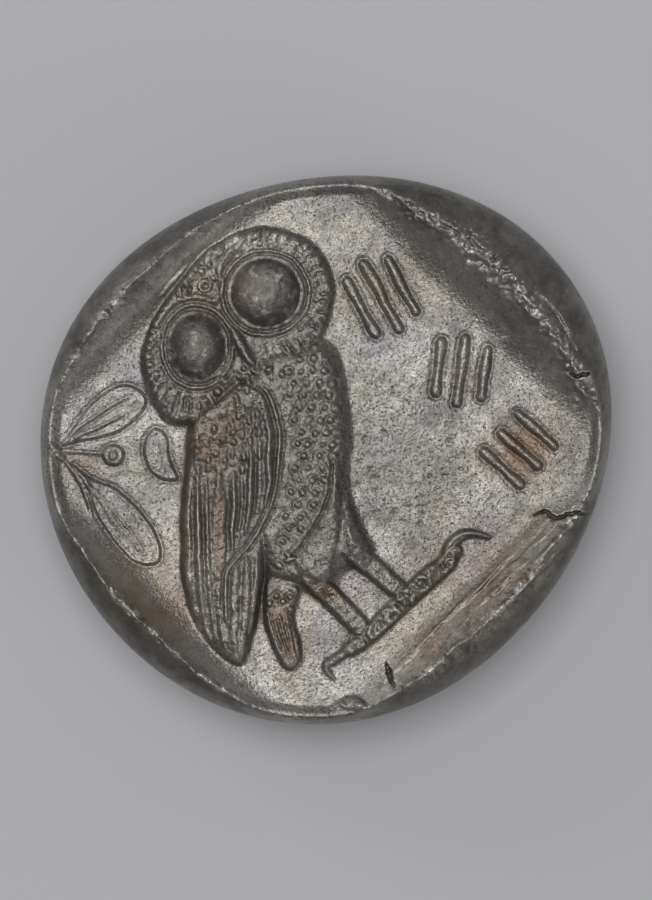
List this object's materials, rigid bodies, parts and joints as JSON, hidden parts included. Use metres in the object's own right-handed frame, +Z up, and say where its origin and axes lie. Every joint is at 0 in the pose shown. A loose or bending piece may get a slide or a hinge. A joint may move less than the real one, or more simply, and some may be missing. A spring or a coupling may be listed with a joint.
{
  "type": "tetradrachm coin",
  "caption": "Thick hand-struck silver coin: an owl, olive sprig and crescent in a sunken square, with a helmeted head in high relief underneath, worn flat where it rests.",
  "frame": {"origin": "bottom centre of the coin's box, on the worn flat of the obverse that it rests on", "axes": "+Z up through the coin's thickness, out of the reverse; +Y towards the top of the reverse, +X to its right"},
  "size_m": [0.0236, 0.0228, 0.0062],
  "materials": {
    "silver": "toned ancient silver, satin, darker in the hollows"
  },
  "bodies": {
    "root": {"coin": "silver"}
  },
  "joints": []
}
